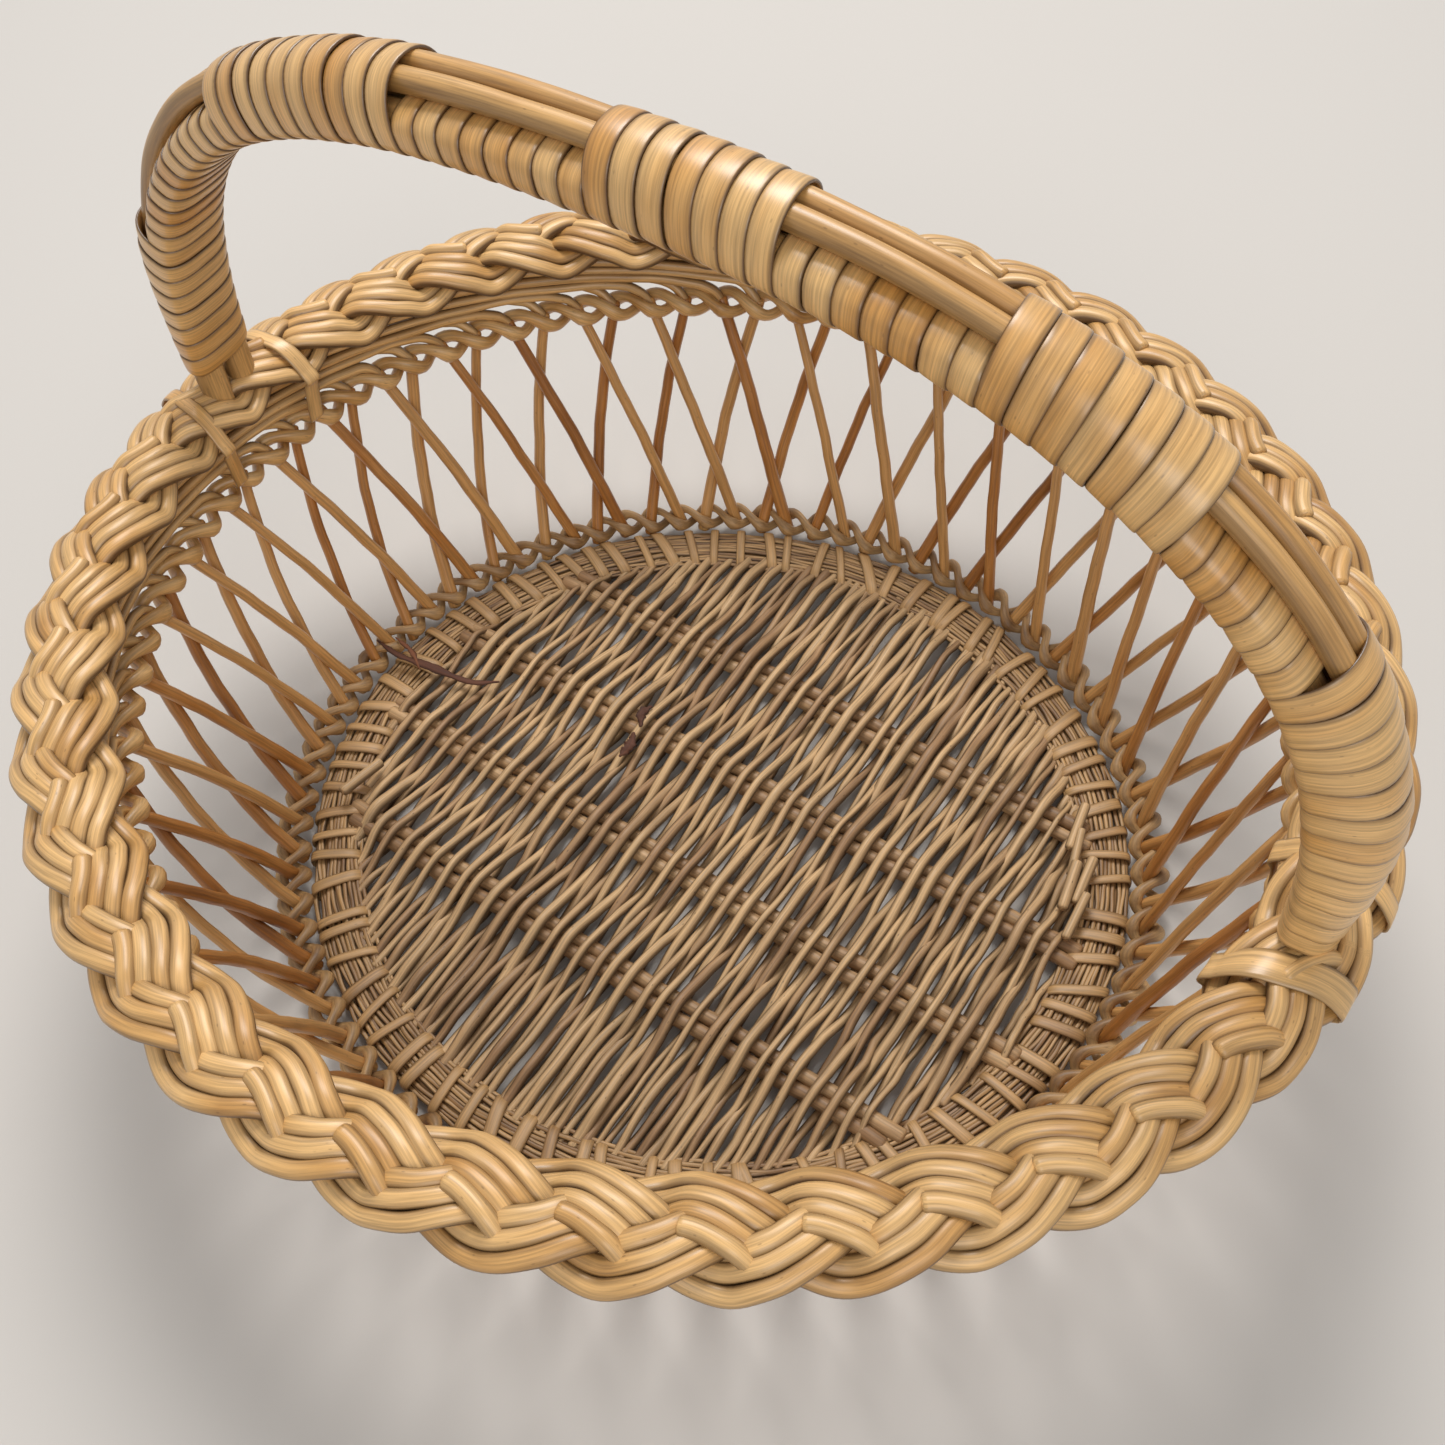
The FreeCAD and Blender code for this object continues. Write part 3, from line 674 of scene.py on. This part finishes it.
def make_handle_rod(name, node, out, side, radius, below, foot_out, foot_share):
    """Rod along the arch at an offset.

    below is how far its ends go past the feet, and foot_out and foot_share are its
    offset and its share of the full thickness at a foot.
    """
    bundle = Bundle()
    distance = np.linspace(-below, arch_length + below, 240)
    place, outward = on_arch(distance)
    share = np.linspace(0.0, 1.0, 240)
    full = near_foot(distance)
    away = foot_out + (out - foot_out) * full
    points = place + outward * (away + wander(share, 3, 0.25) * full)[:, None] + SIDEWAYS * side
    thickness = radius * (foot_share + (1.0 - foot_share) * full) * (1.0 + wander(share, 9, 0.015))
    bundle.lay(points, outward, thickness, sides=16, tone=chance.uniform(0.3, 0.8), crease_shade=0.5)
    return make_piece(name, bundle, handle_wood, "core_willow", node)


core_foot_share = 0.88
leader_foot_share = 0.35
leader_foot_out = 7.0           # the leaders' thin ends sink between the two core rods
lap_pitch = 7.6
lap_half_width = 3.75
lap_half_thick = 0.65
# Turns over the leaders, then under them, and so on from the left foot.
lap_stretches = (8, 11, 10, 8, 7, 7, 7, 6, 99)


def goes_over(number):
    """True where this turn of the lapping goes over the leaders."""
    covered = True
    for length in lap_stretches:
        if number < length:
            return covered
        number -= length
        covered = not covered
    return True


def make_lapping():
    """One long strip of split willow wound round the handle, over and under the leaders."""
    bundle = Bundle()
    start = 9.0                 # first turn's distance from the left foot
    turns = int((arch_length - start + 6.0) / lap_pitch)
    per_turn = 44               # points in a turn
    angle = 2.0 * math.pi * np.arange(turns * per_turn) / per_turn
    number = np.floor((angle + 0.5 * math.pi) / (2.0 * math.pi)).astype(int)
    over = np.array([goes_over(turn) for turn in range(turns + 2)])[number]
    loose = chance.uniform(-0.15, 0.4, turns + 2)[number]
    along = chance.normal(0.0, 0.25, turns + 2)
    tones = chance.uniform(0.15, 1.0, turns + 2)
    turn_place = angle / (2.0 * math.pi) + 0.25
    place_index = np.arange(turns + 2)
    along = np.interp(turn_place, place_index, along)
    tone = np.interp(turn_place, place_index, tones)
    distance = start + lap_pitch * angle / (2.0 * math.pi)
    full = near_foot(distance)
    core_here = core_radius * (core_foot_share + (1.0 - core_foot_share) * full)
    leader_here = leader_radius * (leader_foot_share + (1.0 - leader_foot_share) * full)
    leader_top = leader_foot_out + (leader_out - leader_foot_out) * full + leader_here
    half_side = abs(core_side) + core_here + lap_half_thick
    below = core_here + lap_half_thick
    above = np.where(over, leader_top + lap_half_thick + 0.1, below)
    up = np.sin(angle)
    high = np.where(up > 0.0, above + loose, below + 0.3 * loose)
    # How boxy a turn is: round over the leaders, flatter over and under the two core rods.
    power = np.where(up > 0.0, np.where(over, 2.25, 3.0), 2.8)
    side = half_side * np.sign(np.cos(angle)) * np.abs(np.cos(angle)) ** (2.0 / power)
    out = high * np.sign(up) * np.abs(up) ** (2.0 / power)
    # Towards the right foot the turns sag into a point on the outer side.
    sag = 6.5 * smooth(105.0, 30.0, arch_length - distance) * np.clip(up, 0.0, 1.0) ** 2
    distance = distance + along + sag
    place, outward = on_arch(distance)
    points = place + outward * out[:, None] + SIDEWAYS * side[:, None]
    facing = outward * (np.sign(up) * np.abs(out / high) ** (power - 1.0) / high)[:, None] \
        + SIDEWAYS * (np.sign(side) * np.abs(side / half_side) ** (power - 1.0) / half_side)[:, None]
    heading = np.cross(outward, SIDEWAYS)
    facing = unit(facing) + heading * 0.07
    # Turns spread apart outside a bend and crowd inside it.
    ahead, outward_ahead = on_arch(distance + 2.0)
    behind, outward_behind = on_arch(distance - 2.0)
    spread = np.linalg.norm(ahead - behind + (outward_ahead - outward_behind) * out[:, None], axis=1) / 4.0
    width = lap_half_width * np.clip(spread, 0.7, 1.35) + 0.2
    bundle.lay(points, facing, width, lap_half_thick, sides=14, square=3.8, tone=tone, crease_shade=0.95)
    return make_piece("handle_skein", bundle, skein_wood, "skein_willow", "handle_lapping")


tie_reach = 17.5                # from the border's middle to a tie's outermost point


def make_tie(bundle, turn, slant, half_width, tone):
    """A strip of skein pulled tight round the border beside the handle's foot.

    It is shaped by pairs: the way out from the wall, and the height over the plait's ridge.
    """
    floor = fitching_height + 3.5 - plait_ridge
    outer = [(0.0, floor - 0.5), (5.6, floor), (8.0, floor + 4.0), (15.0, -9.6), (tie_reach, -6.6),
             (15.8, -2.6)]
    top = [(11.5, 2.4), (6.5, 5.0), (0.0, 5.4), (-6.5, 5.0), (-11.5, 2.4)]
    inner = [(-15.8, -2.6), (-tie_reach, -6.6), (-14.8, -9.6), (-9.0, floor + 5.0), (-6.2, floor),
             (0.0, floor - 0.5)]
    curve = through(outer + top + inner, 97)[:-1]
    out = curve[:, 0]
    height = plait_ridge + curve[:, 1]
    place = turn + slant * out / tie_reach / stakes
    points = on_oval(wall(np.minimum(height, border_height)), place, height, out)
    heading = np.roll(curve, -1, 0) - np.roll(curve, 1, 0)
    facing = outwards(border_middle, place) * heading[:, 1:] - UP * heading[:, :1]
    bundle.lay(points, facing, half_width, 0.6, 10, 3.0, True, tone, 0.6)


def make_ties(name, node, middle, places):
    """The ties at one foot; each row: stake places from the foot, slant, half width, tone."""
    bundle = Bundle()
    for away, slant, half_width, tone in places:
        make_tie(bundle, middle + away / stakes, slant, half_width, tone)
    return make_piece(name, bundle, skein_wood, "skein_willow", node)


# ---- put the basket together ----------------------------------------------------------------
for stick_pair in range(stick_pairs):
    make_sticks(stick_pair)
make_mat_weavers()
make_ring_hoop()
make_ring_tails()
make_scalloms()
make_bark()
make_stub_ends()
make_twine("foot_twine", twine_height, swing=4.4, lift=2.5, half_wide=2.8, half_thick=2.6, pinch=0.38,
           crease_shade=0.35, material=shaved_wood, slot="base_willow", node="base_twine")
for stake_layer in layers:
    make_stakes(*stake_layer)
make_twine("top_twine", fitching_height, swing=4.7, lift=3.0, half_wide=3.4, half_thick=2.6, pinch=0.2,
           crease_shade=0.25, material=plait_willow, slot="border_willow", node="top_fitching")
make_laid_tops()
for plait_number in range(3):
    make_plait_strand(plait_number)
make_plait_butts()
for end, hand in (("front", 1.0), ("back", -1.0)):
    make_handle_rod("handle_rod_" + end, "handle_core_" + end, out=0.0, side=hand * core_side,
                    radius=core_radius, below=16.0, foot_out=0.0, foot_share=core_foot_share)
for end, hand in (("front", 1.0), ("back", -1.0)):
    make_handle_rod("leader_rod_" + end, "handle_leader_" + end, out=leader_out, side=hand * leader_side,
                    radius=leader_radius, below=-8.0, foot_out=leader_foot_out, foot_share=leader_foot_share)
make_lapping()
make_ties("foot_ties_left", "handle_ties_left", 0.5, ((-1.5, 0.25, 3.2, 0.75), (1.3, -0.3, 3.0, 0.45)))
make_ties("foot_ties_right", "handle_ties_right", 0.0, ((-1.28, 0.42, 5.2, 1.0), (1.4, -0.25, 4.0, 0.6)))


# ---- floor, light and camera -------------------------------------------------------------------
def make_floor():
    """A plain pale floor."""
    size = 6.0
    mesh = bpy.data.meshes.new("floor")
    corners = [(-size, -size, 0), (size, -size, 0), (size, size, 0), (-size, size, 0)]
    mesh.from_pydata(corners, [], [(0, 1, 2, 3)])
    material = bpy.data.materials.new("matt_painted_floor")
    material.use_nodes = True
    tree = material.node_tree
    bsdf = tree.nodes["Principled BSDF"]
    bsdf.inputs["Roughness"].default_value = 0.75
    cloud = add(tree, "ShaderNodeTexNoise", {"Scale": 3.0, "Detail": 4.0}).outputs["Fac"]
    shade = add(tree, "ShaderNodeValToRGB", None, i0=cloud)
    shade.color_ramp.elements[0].color = from_hex("#c3bcb4")
    shade.color_ramp.elements[1].color = from_hex("#cfc9c2")
    tree.links.new(shade.outputs[0], bsdf.inputs["Base Color"])
    mesh.materials.append(material)
    floor = bpy.data.objects.new("floor", mesh)
    bpy.context.scene.collection.objects.link(floor)


def make_light(name, place, size, power):
    """A soft panel aimed at the basket."""
    light = bpy.data.lights.new(name, "AREA")
    light.shape = "DISK"
    light.size = size
    light.energy = power
    lamp = bpy.data.objects.new(name, light)
    lamp.location = place
    aim = Vector((0.0, 0.0, 0.08)) - Vector(place)
    lamp.rotation_euler = aim.to_track_quat("-Z", "Y").to_euler()
    bpy.context.scene.collection.objects.link(lamp)


def make_world():
    """Even soft light from all round."""
    world = bpy.data.worlds.new("studio")
    world.use_nodes = True
    background = world.node_tree.nodes["Background"]
    background.inputs["Color"].default_value = from_hex("#eef2f6")
    background.inputs["Strength"].default_value = 0.6
    bpy.context.scene.world = world


def make_camera():
    """Camera above the near right-hand side, looking down into the basket."""
    place = Vector((0.214, -0.255, 0.532))
    elevation = math.radians(54.1)
    sideways = math.radians(38.8)
    roll = math.radians(-5.3)
    back = Vector((math.sin(sideways) * math.cos(elevation), -math.cos(sideways) * math.cos(elevation),
                   math.sin(elevation)))
    right = Vector((0.0, 0.0, 1.0)).cross(back).normalized()
    top = back.cross(right)
    turned_right = right * math.cos(roll) + top * math.sin(roll)
    turned_top = top * math.cos(roll) - right * math.sin(roll)
    data = bpy.data.cameras.new("camera")
    data.sensor_width = 36.0
    data.lens = 40.6837
    data.clip_start = 0.01
    camera = bpy.data.objects.new("camera", data)
    turned = Matrix((turned_right, turned_top, back)).transposed().to_4x4()
    camera.matrix_world = Matrix.Translation(place) @ turned
    bpy.context.scene.collection.objects.link(camera)
    bpy.context.scene.camera = camera


make_floor()
make_light("key_panel", (-0.55, 0.75, 1.7), 0.9, 26.0)
make_light("near_panel", (0.9, -1.1, 1.2), 1.0, 9.0)
# Plain display colours, so that the willow keeps its own hue.
bpy.context.scene.view_settings.view_transform = "Standard"
make_world()
make_camera()
